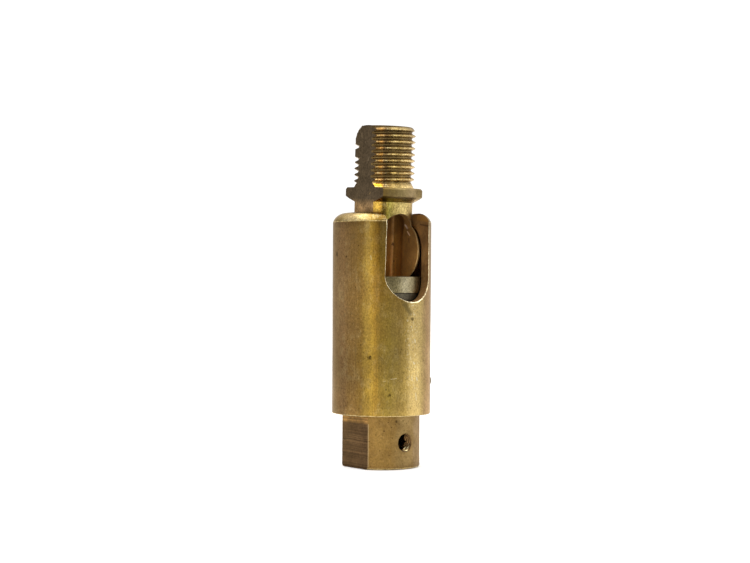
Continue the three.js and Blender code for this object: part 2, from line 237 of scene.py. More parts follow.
    # fine mottling, a little stretched along the axis
    mo = n.noise(n.vmath("MULTIPLY", mm, (1.0, 1.0, 0.7)), 4.6, 3.0, 0.75)
    mg = n.remap(mo, 0.35, 0.65, 1.0 - mottle, 1.0 + mottle)
    colour = n.mix(1.0, colour, n.new("ShaderNodeCombineColor", {0: mg, 1: mg, 2: mg}).outputs[0], "MULTIPLY")
    # darker in the thread roots: some dirt, and painted shade in the grooves
    if root_dirt_and_shade:
        r0, r1, t, amount = root_dirt_and_shade
        rr = n.math("SQRT", n.math("ADD", n.math("MULTIPLY", parts[0], parts[0]), n.math("MULTIPLY", parts[1], parts[1])))
        rr = n.math("ADD", rr, n.math("MULTIPLY", n.math("SUBTRACT", n.noise(mm, 1.7, 3.0, 0.6), 0.5), 0.35 * (r1 - r0)))
        colour = n.mix(n.remap(rr, r0, r1, amount, 0.0), colour, tone(t))
    # painted light and shade: the colour scaled up and down by height, one column for each span of bearing round the
    # axis
    if painted_light_by_height:
        drift = n.math("MULTIPLY", n.math("SUBTRACT", n.noise(mm, 0.3, 3.0), 0.5), gain_drift)
        gg = None
        for span, column in painted_light_by_height:
            z0, z1 = column[0][0], column[-1][0]
            k = n.remap(n.math("ADD", parts[2], drift), z0, z1)
            g1 = n.ramp(k, [((z - z0) / (z1 - z0), tuple(c / 2 for c in v) if hasattr(v, "__len__") else v / 2) for z, v in column])
            if gg is None:
                gg = g1
            else:
                bearing = n.math("ARCTAN2", parts[1], parts[0])
                gg = n.mix(n.remap(bearing, math.radians(span[0]), math.radians(span[1])), gg, g1)
        colour = n.mix(1.0, colour, n.vmath("SCALE", gg, scale=2.0), "MULTIPLY")
    if flecks_and_glints:  # bright flecks in one patch, worn specks with painted glints where the highlight falls: (degrees, degrees, z, z, tone, amount)
        d0, d1, z0, z1, t, amount = flecks_and_glints
        bearing = n.math("ARCTAN2", parts[1], parts[0])
        where = n.math("MULTIPLY", n.remap(bearing, math.radians(d0), math.radians(d0 + 6)), n.remap(bearing, math.radians(d1), math.radians(d1 - 8)))
        where = n.math("MULTIPLY", where, n.math("MULTIPLY", n.remap(parts[2], z0, z0 + 4), n.remap(parts[2], z1, z1 - 3)))
        f = n.ramp(n.noise(n.vmath("MULTIPLY", mm, (1.0, 1.0, 0.6)), 3.4, 4.0, 0.75), [(0.56, 0.0), (0.64, 1.0)])
        colour = n.mix(n.math("MULTIPLY", n.math("MULTIPLY", where, f), amount), colour, tone(t))
    # strokes: old scratches, and in several materials painted highlights, glints and dark painted shade lines
    for a, b, width, t in strokes:
        a, b = Vector(a), Vector(b)
        rel = n.vmath("SUBTRACT", mm, tuple(a))
        along = n.math("DIVIDE", n.vmath("DOT_PRODUCT", rel, tuple(b - a)), (b - a).length_squared, clamp=True)
        near = n.vmath("DISTANCE", rel, n.vmath("MULTIPLY", n.new("ShaderNodeCombineXYZ", {0: along, 1: along, 2: along}).outputs[0], tuple(b - a)))
        near = n.math("ADD", near, n.math("MULTIPLY", n.math("SUBTRACT", n.noise(mm, 6.0, 2.0), 0.5), width * 1.2))
        colour = n.mix(n.remap(near, width * soft, width, 0.75, 0.0), colour, tone(t))
    # single pits, where dirt has gathered
    for at, radius in pits:
        d = n.vmath("DISTANCE", mm, at)
        d = n.math("ADD", d, n.math("MULTIPLY", n.math("SUBTRACT", n.noise(mm, 4.0, 2.0), 0.5), radius * 1.6))
        k = n.remap(d, radius * 0.45, radius * 1.15, 0.72, 0.0)
        colour = n.mix(k, colour, tone("3a2812"))
    colour = n.vmath("SCALE", colour, scale=level)
    m.node_tree.links.new(colour, bsdf.inputs["Base Color"])
    m.node_tree.links.new(rough, bsdf.inputs["Roughness"])
    bsdf.inputs["Metallic"].default_value = metallic
    bsdf.inputs["Specular Tint"].default_value = (*tone(edge), 1)
    b = n.new("ShaderNodeBump", {"Height": height, "Strength": bump, "Distance": 0.00002})
    m.node_tree.links.new(b.outputs[0], bsdf.inputs["Normal"])
    return m


# ------------------------------------------------------------------ mesh helpers
def make(name, verts, faces, mats=(), face_mats=None):
    me = bpy.data.meshes.new(name)
    me.from_pydata([tuple(v) for v in verts], [], faces)
    for m in mats:
        me.materials.append(m)
    if face_mats:
        me.polygons.foreach_set("material_index", face_mats)
    me.update()
    o = bpy.data.objects.new(name, me)
    bpy.context.scene.collection.objects.link(o)
    return o


def lathe(name, profile, segments, mats, shift=None):
    """A solid turned about Z. profile: [radius, z, material index of the face that follows] closing on itself,
    or from axis to axis. Radii of 0 become one vertex."""
    verts, rings = [], []
    for r, z, *_ in profile:
        if r <= 1e-9:
            rings.append([len(verts)])
            verts.append((0, 0, z))
        else:
            rings.append(list(range(len(verts), len(verts) + segments)))
            for j in range(segments):
                a = 2 * math.pi * j / segments
                dr, dz = shift(r, z, a) if shift else (0, 0)
                verts.append(((r + dr) * math.cos(a), (r + dr) * math.sin(a), z + dz))
    faces, idx = [], []
    closed = profile[0][0] > 1e-9
    pairs = list(zip(range(len(profile)), list(range(1, len(profile))) + [0]))
    if not closed:
        pairs = pairs[:-1]
    for a, b in pairs:
        A, B = rings[a], rings[b]
        m = profile[a][2] if len(profile[a]) > 2 else 0
        for j in range(segments):
            k = (j + 1) % segments
            if len(A) == 1 and len(B) == 1:
                continue
            if len(A) == 1:
                faces.append((A[0], B[k], B[j]))
            elif len(B) == 1:
                faces.append((A[j], A[k], B[0]))
            else:
                faces.append((A[j], A[k], B[k], B[j]))
            idx.append(m)
    return make(name, verts, faces, mats, idx)


def arc(radius, zc, a, b, steps, m=0):
    return [
        (radius * math.cos(a + (b - a) * i / steps), zc + radius * math.sin(a + (b - a) * i / steps), m)
        for i in range(steps + 1)
    ]


def block(name, low, high, mats=(), m=0):
    (x0, y0, z0), (x1, y1, z1) = low, high
    v = [(x, y, z) for x in (x0, x1) for y in (y0, y1) for z in (z0, z1)]
    f = [(0, 1, 3, 2), (4, 6, 7, 5), (0, 4, 5, 1), (2, 3, 7, 6), (0, 2, 6, 4), (1, 5, 7, 3)]
    return make(name, v, f, mats, [m] * 6)


def loft(name, rings, mats=(), ring_mats=None, cap_mat=0):
    """A closed tube through rings of equal length, capped with n-gons."""
    n = len(rings[0])
    verts = [p for r in rings for p in r]
    faces, idx = [], []
    for i in range(len(rings) - 1):
        for j in range(n):
            k = (j + 1) % n
            faces.append((i * n + j, i * n + k, (i + 1) * n + k, (i + 1) * n + j))
            idx.append(ring_mats[i] if ring_mats else 0)
    faces.append(tuple(reversed(range(n))))
    idx.append(cap_mat)
    faces.append(tuple(range((len(rings) - 1) * n, len(rings) * n)))
    idx.append(cap_mat)
    o = make(name, verts, faces, mats, idx)
    fix_normals(o)
    return o


def fix_normals(o):
    bm = bmesh.new()
    bm.from_mesh(o.data)
    bmesh.ops.recalc_face_normals(bm, faces=bm.faces)
    bm.to_mesh(o.data)
    bm.free()


def thread_bar(name, root, crest, pitch, z0, z1, segments, phase=0.0, mats=(), m=0, ding=0.0, right_hand=True, shape=None):
    """A solid bar with a helical 60 degree thread, a little longer than z0 to z1. phase is the height of the crest at angle 0, in turns."""
    h = crest - root
    rows = [
        (-0.50, 0.00), (-0.41, 0.03), (-0.33, 0.16), (-0.15, 0.76), (-0.08, 0.94),
        (0.00, 1.00), (0.08, 0.94), (0.15, 0.76), (0.33, 0.16), (0.41, 0.03),
    ]
    per = len(rows)
    first = math.floor((z0 / pitch) - phase) - 1
    turns = int(math.ceil((z1 - z0) / pitch)) + 4
    verts = []
    count = turns * per + 1
    for k in range(count):
        share, s = rows[k % per]
        t = k // per
        for j in range(segments):
            a = 2 * math.pi * j / segments
            z = pitch * (first + t + phase + share + j / segments)
            r = root + h * s
            if ding and s > 0.5:
                e = noise.noise(Vector((math.cos(a) * 1.7, math.sin(a) * 1.7, z * 1.1)))
                f = noise.noise(Vector((math.cos(a) * 9.0, math.sin(a) * 9.0, z * 2.3 + 7)))
                r -= ding * (max(0.0, e - 0.12) * 0.9 + max(0.0, f - 0.25) * 0.7) * s
            if shape:
                r = shape(a, z, r)
            ang = a if right_hand else -a
            verts.append((r * math.cos(ang), r * math.sin(ang), z))
    low, high = len(verts), len(verts) + 1
    verts += [(0, 0, pitch * (first + phase - 1.2)), (0, 0, pitch * (first + turns + phase + 1.2))]
    at = lambda k, j: k * segments + j if j < segments else (k + per) * segments
    top = count - 1
    faces = []
    for k in range(count - 1):
        for j in range(segments):
            if j == segments - 1 and k + 1 + per > top:
                continue
            faces.append((at(k, j), at(k, j + 1), at(k + 1, j + 1), at(k + 1, j)))
    for j in range(segments):
        faces.append((low, at(0, j + 1), at(0, j)))
    for k in range(per):
        faces.append((low, at(k, 0), at(k + 1, 0)))
    for j in range(segments - 1):
        faces.append((high, at(top, j), at(top, j + 1)))
    for k in range(top - per, top):
        faces.append((high, at(k + 1, segments - 1), at(k, segments - 1)))
    faces.append((high, at(top - per, segments - 1), at(top - per, segments)))
    o = make(name, verts, faces, mats, [m] * len(faces))
    fix_normals(o)
    return o


def cut(o, tool, how="DIFFERENCE", keep=False):
    """o with the tool cut from it, joined to it or kept in common, and the tool's materials on what it made."""
    mod = o.modifiers.new("cut", "BOOLEAN")
    mod.operation = how
    mod.object = tool
    mod.solver = "EXACT"
    mod.material_mode = "TRANSFER"
    dg = bpy.context.evaluated_depsgraph_get()
    dg.update()
    made = bpy.data.meshes.new_from_object(o.evaluated_get(dg), preserve_all_data_layers=False, depsgraph=dg)
    o.modifiers.clear()
    old = o.data
    o.data = made
    bpy.data.meshes.remove(old)
    if not keep:
        bpy.data.objects.remove(tool)
    return o


def transform(o, matrix):
    o.data.transform(matrix)
    return o


def done(o, name, body, nodes, angle=30.0, frame_matrix=None):
    """Cleans a piece, sets its crisp edges, scales it to metres, and puts it on its body."""
    bm = bmesh.new()
    bm.from_mesh(o.data)
    bmesh.ops.remove_doubles(bm, verts=bm.verts, dist=0.0015)
    bmesh.ops.dissolve_degenerate(bm, edges=bm.edges, dist=0.0008)
    loose = [v for v in bm.verts if not v.link_faces]
    if loose:
        bmesh.ops.delete(bm, geom=loose, context="VERTS")
    big = [f for f in bm.faces if len(f.verts) > 4]
    if big:
        bmesh.ops.triangulate(bm, faces=big, quad_method="BEAUTY", ngon_method="BEAUTY")
    limit = math.radians(angle)
    for f in bm.faces:
        f.smooth = True
    for e in bm.edges:
        e.smooth = not (len(e.link_faces) == 2 and e.calc_face_angle(0.0) > limit)
    bm.to_mesh(o.data)
    bm.free()
    if frame_matrix:
        o.data.transform(frame_matrix)
    o.data.transform(Matrix.Scale(0.001, 4))
    o.data.update()
    o.name = name
    o.data.name = name
    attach(o, body)
    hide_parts(*nodes)
    return o


# ------------------------------------------------------------------ camera
azimuth = math.radians(51.7)
to_cam = Vector((math.sin(azimuth), -math.cos(azimuth), 0))
right = Vector((math.cos(azimuth), math.sin(azimuth), 0))
roll = math.radians(0.33)
cam_data = bpy.data.cameras.new("camera")
cam_data.sensor_width = 36.0
cam_data.lens = 1525.0 / 750.0 * 36.0
cam_data.clip_start, cam_data.clip_end = 0.005, 20.0
cam = bpy.data.objects.new("camera", cam_data)
bpy.context.scene.collection.objects.link(cam)
side = right * math.cos(roll) + Vector((0, 0, math.sin(roll)))
up = -right * math.sin(roll) + Vector((0, 0, math.cos(roll)))
cam.matrix_world = Matrix.Translation(to_cam * 0.248 + Vector((0, 0, 0.02993)) - right * 0.0011) @ Matrix(
    ((side.x, up.x, to_cam.x), (side.y, up.y, to_cam.y), (side.z, up.z, to_cam.z))
).to_4x4()
bpy.context.scene.camera = cam

# ------------------------------------------------------------------ metals
# tones round the barrel: the brass's own tarnish, with painted reflections in it; the gold stripe from -56 to -45
# degrees and the pale band from -1 to 45 degrees are painted highlights
BARREL_TONES_AND_REFLECTIONS = [
    (-180, "a88a55"), (-128, "98825e"), (-108, "a0825c"), (-90, "a48054"), (-74, "a07c46"), (-62, "a07c3c"),
    (-56, "bc9846"), (-50, "cca444"), (-45, "bc943c"), (-40, "a4863a"), (-30, "a48a3e"), (-24, "a68c46"), (-17, "a48946"), (-9, "b29650"), (-1, "ccb06e"), (12, "d4b876"),
    (28, "cca87c"), (45, "c0a480"), (90, "a88c58"), (140, "a88a55"), (180, "a88a55"),
]


def pit(deg, z, r):
    return ((SLEEVE_R * math.cos(math.radians(deg)), SLEEVE_R * math.sin(math.radians(deg)), z), r)


# the barrel: its gains by height are painted light and shade, its bright flecks are worn specks with painted glints,
# and the wide dark stroke just under the slot's end is painted shade
barrel = metal(
    "barrel_brass", "a8884c", "6e5434", "e4cc90", angular=BARREL_TONES_AND_REFLECTIONS, grain=(6.0, 6.0, 0.16), grain_amount=0.18,
    cloud_scale=0.17, dark_amount=0.26, light_amount=0.22, speck=0.5, roughness=(0.26, 0.42), bump=0.30, mottle=0.27,
    level=0.47, gain_drift=3.0, wobble=0.55, flecks_and_glints=(-12, 13, 10, 29, "fff0c4", 0.75), painted_light_by_height=[
        (None, [(9, 0.80), (18, 0.88), (22, 1.00), (28, 1.30), (33, 1.32), (38, 1.34), (41, 1.34)]),
        ((-88, -72), [(9, 1.20), (18, 0.92), (26, 1.28), (30, 1.36), (33.5, 1.28), (36.5, 1.20), (41, 1.14)]),
        ((-56, -42), [(9, 1.56), (18, 1.06), (25, (1.20, 1.16, 1.12)), (30, (1.02, 0.90, 0.74)), (36, (0.66, 0.59, 0.50)), (41, (0.57, 0.51, 0.46))]),
        ((-18, -2), [(9, 1.90), (16, 1.50), (24, 1.16), (30, 0.95), (38, 0.7), (41, 0.7)]),
        ((8, 20), [(9, 1.10), (18, 0.98), (24, 0.92), (38, 0.85), (41, 0.85)]),
        ((20, 34), [(9, 1.45), (18, 1.40), (24, 1.25), (38, 1.1), (41, 1.1)]),
        ((70, 150), [(9, 0.80), (18, 0.88), (22, 1.00), (28, 1.30), (33, 1.32), (38, 1.34), (41, 1.34)]),
    ],
    strokes=[(pit(-27.5, 14.55, 0)[0], pit(-21.0, 14.65, 0)[0], 0.09, "f0dca4"), (pit(-36, 14.2, 0)[0], pit(-33.5, 14.25, 0)[0], 0.08, "e0c888"),
             (pit(3.3, 20.6, 0)[0], pit(3.6, 20.3, 0)[0], 0.15, "fff4d0"), (pit(1.2, 17.1, 0)[0], pit(2.4, 16.9, 0)[0], 0.15, "fff4d0"),
             (pit(6.0, 14.7, 0)[0], pit(6.8, 14.3, 0)[0], 0.16, "fff4d0"), (pit(-2.0, 26.1, 0)[0], pit(0.5, 26.2, 0)[0], 0.10, "f4e4b8"),
             (pit(4.6, 12.2, 0)[0], pit(6.0, 11.2, 0)[0], 0.14, "f4e4b8"), (pit(-51.4, 34.0, 0)[0], pit(-50.6, 33.4, 0)[0], 0.13, "e8d090"),
             (pit(-69, 21.5, 0)[0], pit(-68.8, 16.0, 0)[0], 0.10, "8c7040"), (pit(-98, 30.5, 0)[0], pit(-97.8, 22.0, 0)[0], 0.11, "b09468"),
             (pit(-11, 26.3, 0)[0], pit(-4, 25.0, 0)[0], 0.65, "7a683e"), (pit(60, 22.0, 0)[0], pit(84.0, 24.5, 0)[0], 0.09, "e0c890"), (pit(150, 30.0, 0)[0], pit(168.0, 27.5, 0)[0], 0.10, "e0c890")],
    pits=[pit(-52.2, 17.85, 0.36), pit(-51.0, 18.1, 0.22), pit(-1.0, 24.0, 0.34), pit(-62.6, 19.9, 0.16), pit(-83.5, 33.85, 0.2),
          pit(-103.0, 34.3, 0.42), pit(-28.7, 12.05, 0.26), pit(-33, 12.9, 0.13), pit(-70, 29.0, 0.12), pit(-92, 22.0, 0.14), pit(-58, 13.0, 0.13),
          pit(-66, 35.6, 0.13), pit(-12, 15.5, 0.12), pit(8, 30.0, 0.14), pit(-44, 27.5, 0.11)],
)
# the shoulder, a lighter copy of the barrel's brass: its tones round the axis paint the highlight on the rounded top,
# brightest from -80 to -62 degrees, and shade from -38 to -25
shoulder = metal(
    "shoulder_brass", "c2a868", "7a5e34", "f4e6b4",
    angular=[(-180, "b89858"), (-100, "c8ac6c"), (-80, "dcc088"), (-62, "e0c884"), (-50, "b89648"), (-38, "8c6e30"), (-25, "8a7040"), (20, "9c8450"), (60, "b49a66"), (120, "b89858")],
    grain=(0.5, 0.5, 5.0), grain_amount=0.14, dark_amount=0.40, light_amount=0.55, speck=0.3,
    roughness=(0.20, 0.34), bump=0.5, cloud_scale=0.6, level=0.54, mottle=0.32, wobble=0.3,
)
cut_brass = metal(
    "cut_brass", "9c7444", "5c3c1e", "c89a5c", grain=(4.0, 4.0, 0.5), grain_amount=0.16, dark_amount=0.6,
    light_amount=0.35, speck=0.3, roughness=(0.42, 0.58), bump=0.3, cloud_scale=0.30, metallic=0.35, mottle=0.18, level=0.72,
    strokes=[((4.0, 4.275, 40.3), (6.4, 4.275, 39.9), 0.55, "a87838"), ((3.5, 4.275, 40.95), (6.4, 4.275, 40.8), 0.16, "3a2010"),
             ((4.6, 4.275, 39.2), (6.6, 4.275, 38.9), 0.18, "4a2c14")],
)
bore_brass = metal(
    "bore_brass", "8a5a2c", "4c3014", "b07c3c", grain=(2.6, 2.6, 0.12), grain_amount=0.30, dark_amount=0.35,
    light_amount=0.2, speck=0.25, roughness=(0.42, 0.6), bump=0.3, metallic=0.4, mottle=0.12, cloud_scale=0.3,
)
# inside the stem's bore: a painted highlight streak near 111 degrees, and painted shade, darker toward the top
stem_bore = metal(
    "stem_bore_brass", "94703c", "5c4020", "b88c50", grain=(1.6, 1.6, 0.08), grain_amount=0.24, dark_amount=0.3,
    angular=[(-180, "94703c"), (-60, "94703c"), (66, "6c441c"), (78, "845824"), (90, "9c6c30"), (104, "a47434"), (108.5, "ac7a38"), (111.5, "f4be78"), (115.5, "d89c58"),
             (119, "a47030"), (128, "946428"), (180, "94703c")], wobble=0.06,
    light_amount=0.2, speck=0.25, roughness=(0.42, 0.6), bump=0.3, metallic=0.3, mottle=0.12, cloud_scale=0.3, stem=True,
    painted_light_by_height=[(None, [(-5, 1.5), (-2, 1.45), (1, 1.0), (3.5, 0.62), (6.5, 0.42)])], gain_drift=0.8, level=1.15,
    pits=[((-1.28, 3.26, 1.03), 0.28), ((-1.0, 3.35, -1.74), 0.16)],
)
# the slot's broken edges: rubbed bright brass, painted paler still as an edge highlight
burr_and_glint = metal(
    "burr_glint_brass", "f4e2b4", "54401c", "fffbe6", grain=(3.0, 3.0, 3.0), grain_amount=0.35, dark_amount=0.75, light_amount=0.6,
    speck=0.4, roughness=(0.3, 0.45), bump=0.3, cloud_scale=1.3, cloud=(0.40, 0.52), metallic=0.35, mottle=0.4, level=1.0,
)
# the small turned chamfers: rubbed brass, painted brighter as a thin edge highlight
edge_brass = metal(
    "edge_brass", "dcc080", "8c7038", "f4e2b0", grain=(3.0, 3.0, 3.0), grain_amount=0.3, dark_amount=0.6, light_amount=0.4,
    speck=0.4, roughness=(0.28, 0.42), bump=0.3, cloud_scale=0.9, metallic=0.4, mottle=0.35, level=0.74,
)
# the wire channel's rim: painted shade, darker toward the top
channel_lip = metal(
    "channel_lip_brass", "c8a468", "7c5c30", "e8d09c", grain=(3.0, 3.0, 3.0), grain_amount=0.2, dark_amount=0.4, light_amount=0.4,
    speck=0.3, roughness=(0.3, 0.45), bump=0.3, cloud_scale=0.9, metallic=0.4, mottle=0.2, level=0.9, stem=True,
    painted_light_by_height=[(None, [(-5, 0.9), (-2, 1.0), (0.5, 0.9), (2.5, 0.45), (6.5, 0.26)])], gain_drift=0.4,
)
# the clamp-screw thread: its light strokes are painted glints on the thread and a painted lit crescent on the hole's
# lower lip
clamp_thread = metal(
    "clamp_thread_brass", "70522e", "30200e", "8c7044", grain=(3.0, 3.0, 3.0), grain_amount=0.2, dark_amount=0.5, light_amount=0.3,
    speck=0.2, roughness=(0.16, 0.26), bump=0.1, cloud_scale=0.9, metallic=0.75, mottle=0.2, level=0.92, marks=(0, 3.4, 0.7),
    strokes=[((5.62, -0.7, 3.02), (5.95, 0.5, 2.96), 0.26, "fff0b4"), ((5.2, 0.7, 3.15), (5.27, 0.95, 3.4), 0.22, "fff0b8"), ((5.7, 1.0, 3.25), (5.8, 1.2, 3.6), 0.20, "fff0b8"),
             ((5.5, 1.2, 3.7), (5.5, 1.3, 4.1), 0.10, "d8b890"), ((5.0, 1.15, 3.9), (5.0, 1.2, 4.3), 0.10, "c8a888")], soft=0.4,
)
# the stem's thread: its tones round the axis paint highlights near -46 and -20 degrees and shade near -37, its darker
# roots are painted shade with some dirt, its gains by height are painted light and shade, and its two strokes are a
# painted gold reflection at the run-out
thread_brass = metal(
    "thread_brass", "b49a60", "6c5230", "f0dca0",
    angular=[(-180, "a88c54"), (-70, "8c6a3a"), (-53, "98763e"), (-46, "c09046"), (-41, "8a6838"), (-37, "604a28"), (-29, "846d39"), (-20, "c6ac68"), (-11, "a28a50"), (2, "c8ae74"), (25, "ccb27c"), (60, "a88c54"), (180, "a88c54")],
    grain=(2.4, 2.4, 3.0), grain_amount=0.22, dark_amount=0.45, light_amount=0.55, speck=0.5, roughness=(0.22, 0.42), bump=0.5,
    cloud_scale=0.6, level=1.0, mottle=0.44, metallic=0.8, stem=True, wobble=0.5, root_dirt_and_shade=(4.32, 4.74, "64502c", 0.88),
    painted_light_by_height=[(None, [(9.8, 1.45), (10.8, 1.30), (11.4, 1.02), (13.0, 0.95), (18.4, 0.82), (19.3, 0.66), (20.2, 0.5)])], gain_drift=0.3,
    strokes=[((2.55, -3.95, 10.5), (3.35, -3.2, 10.35), 0.36, "ffc830"), ((3.2, -3.5, 13.2), (3.3, -3.45, 16.0), 0.36, "a8803c")],
)
# the collar: its tones round the axis are painted light and shade, darkest near -40 degrees and lighter toward +8
collar_brass = metal(
    "collar_brass", "a08a5a", "6c5a3c", "c8b078", grain=(0.8, 0.8, 6.0), grain_amount=0.12, dark_amount=0.45,
    light_amount=0.3, speck=0.3, roughness=(0.32, 0.46), bump=0.3, cloud_scale=0.4, level=0.60, mottle=0.18, stem=True, wobble=0.3,
    angular=[(-180, "a08a5a"), (-60, "8c7444"), (-40, "886c30"), (-28, "8c7643"), (-12, "9a8658"), (8, "a6906a"), (30, "a08a5a"), (180, "a08a5a")],
)
# the neck: its tones round the axis paint a reflection, with a gold highlight from -58 to -44 degrees, a dark line from
# -39 to -35 and a pale band to the right
neck_brass = metal(
    "neck_brass", "c0a050", "7c6a34", "ecd48c",
    angular=[(-180, "b09050"), (-90, "8a6e40"), (-64, "9c7834"), (-58, "cca044"), (-50, "f0c254"), (-44, "e0ac44"), (-41.5, "a07c24"), (-39, "584010"), (-35, "604c1c"), (-31, "968434"), (-26, "a69a4a"),
             (-22, "a29048"), (-14, "b49e5c"), (5, "d6be7a"), (30, "ccb078"), (60, "b09050")],
    grain=(1.0, 1.0, 5.0), grain_amount=0.12, dark_amount=0.30, light_amount=0.3, speck=0.5, roughness=(0.26, 0.40),
    bump=0.45, cloud_scale=0.6, level=0.66, mottle=0.52, stem=True, wobble=0.15,
)
stem_flat = metal(
    "stem_flat_brass", "6a5a46", "4c4030", "8a7454", grain=(2.5, 2.5, 2.5), grain_amount=0.10, dark_amount=0.35,
    light_amount=0.26, speck=0.5, roughness=(0.40, 0.58), bump=0.45, cloud_scale=0.7, level=0.63, mottle=0.38,
    height_tint=(8.3, 7.0, "e0b47c"), stem=True,
    strokes=[((-1.0, -4.03, 18.1), (-1.12, -4.03, 18.7), 0.10, "a89070"), ((0.75, -4.03, 14.3), (0.95, -4.03, 15.0), 0.07, "a89478"),
             ((-0.2, -4.03, 17.2), (0.05, -4.03, 17.5), 0.06, "98826a"), ((1.3, -4.03, 9.0), (1.6, -4.03, 9.25), 0.12, "a08458")],
)
ball_brass = metal(
    "ball_brass", "a8844c", "6a5028", "d0ae70", grain=(0.8, 0.8, 5.0), grain_amount=0.12, dark_amount=0.4,
    light_amount=0.25, speck=0.25, roughness=(0.3, 0.46), bump=0.2, cloud_scale=0.3, metallic=0.6, mottle=0.12,
)
# the wire channel's walls: painted shade, darker toward the top; its two light strokes are painted highlights and its
# dark stroke a painted shade streak
channel_brass = metal(
    "channel_brass", "a87c42", "6c4a26", "c09458", grain=(1.0, 1.0, 0.4), grain_amount=0.16, dark_amount=0.45,
    light_amount=0.3, speck=0.2, roughness=(0.38, 0.55), bump=0.3, cloud_scale=0.35, metallic=0.35, mottle=0.14, stem=True,
    painted_light_by_height=[(None, [(-5, 1.25), (-2, 1.15), (1, 0.85), (3.5, 0.66), (6.5, 0.42)])], gain_drift=0.8, level=1.05,
    strokes=[((2.25, 2.9, 4.2), (2.5, 3.1, 3.75), 0.30, "d0b8a4"), ((2.4, 3.26, 3.15), (2.95, 3.3, 2.6), 0.19, "f0d0b0"),
             ((2.75, 3.3, 2.0), (2.85, 3.3, 1.5), 0.26, "5a3a1c")],
)
# the plug: its tones round the axis are painted light, lighter toward +30 degrees
plug_brass = metal(
    "plug_brass", "b8904e", "7c5c34", "d8b070", grain=(1.2, 1.2, 4.0), grain_amount=0.08, dark_amount=0.32,
    angular=[(-180, "b0905a"), (-60, "b8904e"), (-28, "b8914e"), (-5, "b0925c"), (12, "b0925e"), (30, "bea27c"), (70, "b89868"), (180, "b0905a")],
    light_amount=0.25, speck=0.5, roughness=(0.36, 0.50), bump=0.35, cloud_scale=0.35, level=0.50, mottle=0.18,
    strokes=[((3.43, -5.31, 0.5), (3.43, -5.31, 7.2), 0.12, "dcbc88")],
    pits=[((6.25 * math.cos(math.radians(a)), 6.25 * math.sin(math.radians(a)), z), r) for a, z, r in
          [(-34, 6.2, 0.17), (-40, 3.1, 0.12), (-22, 5.1, 0.12), (20, 5.6, 0.13), (-28, 7.6, 0.14), (-46, 5.6, 0.10), (14, 2.4, 0.15), (-12, 7.3, 0.1), (-16, 7.7, 0.27), (-17, 7.3, 0.14), (-4, 7.8, 0.17), (-23, 6.8, 0.17), (2, 6.9, 0.10)]],
)
plug_flat = metal(
    "plug_flat_brass", "7a5e40", "54402c", "a08058", grain=(0.25, 0.25, 7.0), grain_amount=0.22, dark_amount=0.30,
    light_amount=0.25, speck=0.25, roughness=(0.38, 0.54), bump=0.55, cloud_scale=0.35, marks=(2, 3.0, 0.62), level=0.50,
    height_tint=(7.1, 7.6, "dca860"), mottle=0.18,
)
# the seat ring: its tones round the axis paint a highlight, brightest from -1 to 11 degrees, with painted shade to
# either side
seat_steel = metal(
    "seat_steel", "ac9c74", "5c5438", "e4d6a8", grain=(0.6, 0.6, 3.0), grain_amount=0.12, dark_amount=0.5,
    light_amount=0.45, speck=0.4, roughness=(0.34, 0.5), bump=0.4, cloud_scale=0.55, level=0.54, mottle=0.36,
    angular=[(-180, "ac9c74"), (-75, "94844c"), (-55, "a48c58"), (-38, "9c8c60"), (-17, "a09268"), (-1, "c8bc98"), (11, "c4b48c"), (19, "8c7c58"), (30, "9c8c64"), (110, "ac9c74"), (180, "ac9c74")], wobble=0.25,
)
dark_steel = metal(
    "dark_steel", "7c7460", "44403a", "a0947a", grain=(0.6, 0.6, 5.0), grain_amount=0.1, dark_amount=0.4,
    light_amount=0.2, speck=0.3, roughness=(0.4, 0.55), bump=0.3, cloud_scale=0.5, level=0.42, mottle=0.3,
)
spring_steel = metal(
    "spring_steel", "8c8c90", "5c5850", "b8b8bc", grain=(3.0, 3.0, 3.0), grain_amount=0.08, dark_amount=0.3,
    light_amount=0.2, speck=0.2, roughness=(0.25, 0.4), bump=0.2, cloud_scale=0.5, level=0.7,
)
pin_steel = metal(
    "pin_steel", "86806f", "4e4636", "b0a890", grain=(2.0, 2.0, 2.0), grain_amount=0.1, dark_amount=0.4,
    light_amount=0.2, speck=0.3, roughness=(0.35, 0.5), bump=0.3, cloud_scale=0.8, level=0.55,
)


